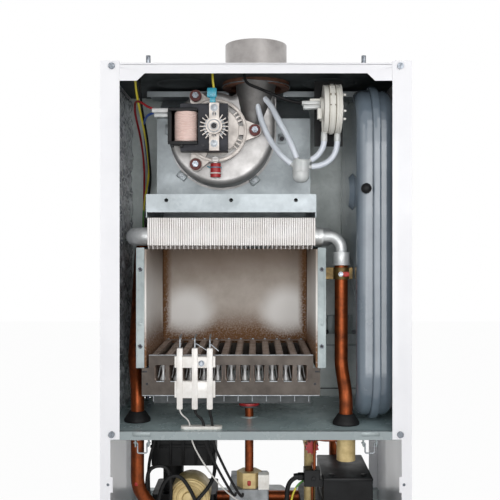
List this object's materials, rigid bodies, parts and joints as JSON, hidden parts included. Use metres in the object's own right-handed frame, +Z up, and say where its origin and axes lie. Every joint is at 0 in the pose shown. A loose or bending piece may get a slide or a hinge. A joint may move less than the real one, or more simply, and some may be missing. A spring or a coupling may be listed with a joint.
{
  "type": "wall-hung gas boiler",
  "caption": "Wall-hung fan-flued gas boiler opened for service: fan, finned heat exchanger, burner, expansion vessel, copper risers, gas valve and pump in a white sheet-steel casing.",
  "frame": {"origin": "centre of the two hook slots on the wall rail's rear face", "axes": "+X to the right seen from the front, +Y towards the wall, +Z up"},
  "size_m": [0.4, 0.2826, 0.7735],
  "materials": {
    "white_enamel": "smooth white stove enamel",
    "galvanised": "galvanised sheet",
    "zinc": "bright zinc",
    "foil": "crinkled foil",
    "stainless": "polished stainless steel",
    "silicone_brown": "brown silicone",
    "cast_aluminium": "die-cast aluminium",
    "laminations": "dark lamination steel",
    "black_plastic": "black moulded plastic",
    "tape": "pink insulating tape over copper",
    "grommet_rubber": "red-brown rubber",
    "red_plastic": "red plastic",
    "beige_plastic": "beige moulded plastic",
    "clear_silicone": "clear silicone tube",
    "clear_plastic": "milky clear plastic",
    "fin_metal": "bright fins",
    "tin_plate": "tinned tube",
    "board": "pressed mineral fibre",
    "burner_steel": "heat-stained stainless steel",
    "ceramic": "white ceramic",
    "copper": "copper tube",
    "brass": "brass",
    "boot_rubber": "black rubber",
    "passivated": "yellow passivated steel",
    "vessel_paint": "blue-grey gloss paint",
    "white_plastic": "white plastic",
    "wire": "insulated wire",
    "valve_grey": "grey die casting",
    "composite": "glass-filled composite"
  },
  "bodies": {
    "chassis": {"side_panel_left": "white_enamel", "side_panel_right": "white_enamel", "top_panel": "white_enamel", "back_plate": "galvanised", "chamber_shelf": "galvanised", "foil_liner": "foil", "wall_rail": "galvanised", "bottom_rail": "galvanised", "connection_tails": "brass", "casing_screws": "zinc", "flue_collar": "stainless", "collar_gasket": "silicone_brown", "fan_volute": "galvanised", "drain_cap": "red_plastic", "motor_plate": "cast_aluminium", "motor_grommets": "grommet_rubber", "motor_stator": "laminations", "coil_bobbin": "black_plastic", "motor_coil": "tape", "bearing_bridge": "cast_aluminium", "pressure_switch": "beige_plastic", "switch_bracket": "black_plastic", "condensate_cup": "clear_plastic", "pressure_tubes": "clear_silicone", "flue_hood": "galvanised", "exchanger_fins": "fin_metal", "exchanger_tubes": "tin_plate", "flow_elbow": "tin_plate", "combustion_chamber": "galvanised", "insulation_boards": "board", "burner_tray": "burner_steel", "burner_blades": "burner_steel", "gas_manifold": "valve_grey", "electrode_block": "ceramic", "electrodes": "zinc", "electrode_leads": "wire", "lead_grommet": "white_plastic", "riser_right": "copper", "riser_left": "copper", "pipe_boots": "boot_rubber", "pipe_clip": "passivated", "vessel_rim": "vessel_paint", "vessel_shells": "vessel_paint", "vessel_cap": "black_plastic", "gas_pipe": "copper", "gas_valve": "valve_grey", "pump_head": "composite", "pump_plug": "black_plastic", "pump_base": "composite", "hydraulic_block": "composite", "plate_exchanger": "tin_plate", "lower_pipes": "copper", "brass_fittings": "brass", "wiring_loom": "wire"},
    "fan_rotor": {"fan_shaft": "zinc", "fan_impeller": "galvanised", "cooling_wheel": "white_plastic"},
    "left_clip": {"wire_clip_left": "zinc"},
    "right_clip": {"wire_clip_right": "zinc"},
    "valve_knob": {"safety_knob": "red_plastic"}
  },
  "joints": [
    {"name": "fan_spin", "type": "hinge", "parent": "chassis", "child": "fan_rotor", "pos_m": [-0.056, -0.22, -0.038], "axis": [0, -1, 0], "continuous": true},
    {"name": "left_clip_swing", "type": "hinge", "parent": "chassis", "child": "left_clip", "pos_m": [-0.147, -0.272, -0.452], "axis": [-1, 0, 0], "range_deg": [-25, 90]},
    {"name": "right_clip_swing", "type": "hinge", "parent": "chassis", "child": "right_clip", "pos_m": [0.147, -0.272, -0.452], "axis": [-1, 0, 0], "range_deg": [-25, 90]},
    {"name": "safety_knob_turn", "type": "hinge", "parent": "chassis", "child": "valve_knob", "pos_m": [0.076, -0.22, -0.472], "axis": [0, -1, 0], "range_deg": [0, 90]}
  ]
}
